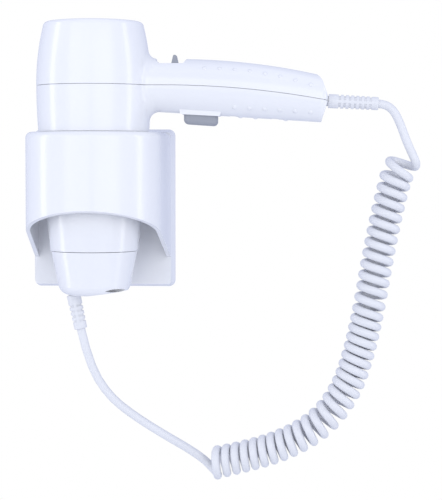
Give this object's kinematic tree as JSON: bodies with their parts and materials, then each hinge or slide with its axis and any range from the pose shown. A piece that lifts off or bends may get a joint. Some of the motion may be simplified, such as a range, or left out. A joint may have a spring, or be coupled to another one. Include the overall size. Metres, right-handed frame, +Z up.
{
  "type": "hair dryer",
  "caption": "Wall-held hair dryer: a barrel handset with a side handle stands nozzle down in a collar and cup on a wall plate, joined to it by a curly cord.",
  "frame": {"origin": "middle of the four wall screw holes, on the wall plate's back face", "axes": "+Z up, +Y into the wall, +X along the handle; the barrel's axis runs along Z at Y = -0.061"},
  "size_m": [0.2891, 0.107, 0.331],
  "materials": {
    "gloss_white": "smooth moulded white ABS, glossy",
    "heat_white": "satin heat-resistant plastic",
    "grey_control": "satin blue-grey plastic",
    "cord_pvc": "soft white PVC",
    "steel": "zinc-plated steel",
    "motor_can": "plated motor can",
    "inner_plastic": "black moulded plastic",
    "mica": "flaky amber mica sheet",
    "heater_wire": "oxidised resistance wire",
    "board": "lacquered circuit board",
    "wire": "thin insulated wire",
    "filter": "fine filter mesh"
  },
  "bodies": {
    "holder": {"wall_plate": "gloss_white", "holder_shell": "gloss_white", "nozzle_cup": "gloss_white", "cup_cap": "gloss_white", "cable_duct": "gloss_white", "holder_screws": "steel", "cap_screw": "steel", "terminal_block": "inner_plastic", "supply_lead": "cord_pvc", "cord_clamp_holder": "inner_plastic", "strain_relief_holder": "cord_pvc", "cord_tail_holder": "cord_pvc", "cord_lower_lead": "cord_pvc", "cord_coil": "cord_pvc", "cord_upper_lead": "cord_pvc"},
    "handset": {"air_filter": "filter", "cord_clamp_handle": "inner_plastic", "cord_tail_handset": "cord_pvc", "fan_duct": "inner_plastic", "front_shell": "gloss_white", "heater_coil": "heater_wire", "intake_grille": "heat_white", "loom_live": "wire", "loom_neutral": "wire", "mica_plate_cross": "mica", "mica_plate_wide": "mica", "mica_sleeve": "mica", "motor": "motor_can", "outlet_grille": "heat_white", "outlet_nozzle": "heat_white", "push_switch": "inner_plastic", "rear_shell": "gloss_white", "rectifier_board": "board", "shell_screws": "steel", "slide_switch": "inner_plastic", "strain_relief_handle": "cord_pvc", "thermal_cutout": "heater_wire", "thermal_fuse": "heater_wire", "trigger_spring": "steel"},
    "rotor": {"impeller": "inner_plastic", "motor_shaft": "steel"},
    "trigger": {"trigger_button": "grey_control"},
    "slider": {"slider_knob": "grey_control"}
  },
  "joints": [
    {"name": "handset_lift", "type": "slide", "parent": "holder", "child": "handset", "axis": [0, 0, 1], "range_m": [0, 0.085]},
    {"name": "fan_spin", "type": "hinge", "parent": "handset", "child": "rotor", "pos_m": [0, -0.061, 0.1], "axis": [0, 0, 1], "continuous": true},
    {"name": "trigger_press", "type": "slide", "parent": "handset", "child": "trigger", "axis": [0, 0, 1], "range_m": [0, 0.003], "stiffness_N_per_m": 500, "springref_m": -0.004, "deforming": ["trigger_spring"]},
    {"name": "heat_slide", "type": "slide", "parent": "handset", "child": "slider", "axis": [1, 0, 0], "range_m": [-0.0036, 0.0036]}
  ]
}
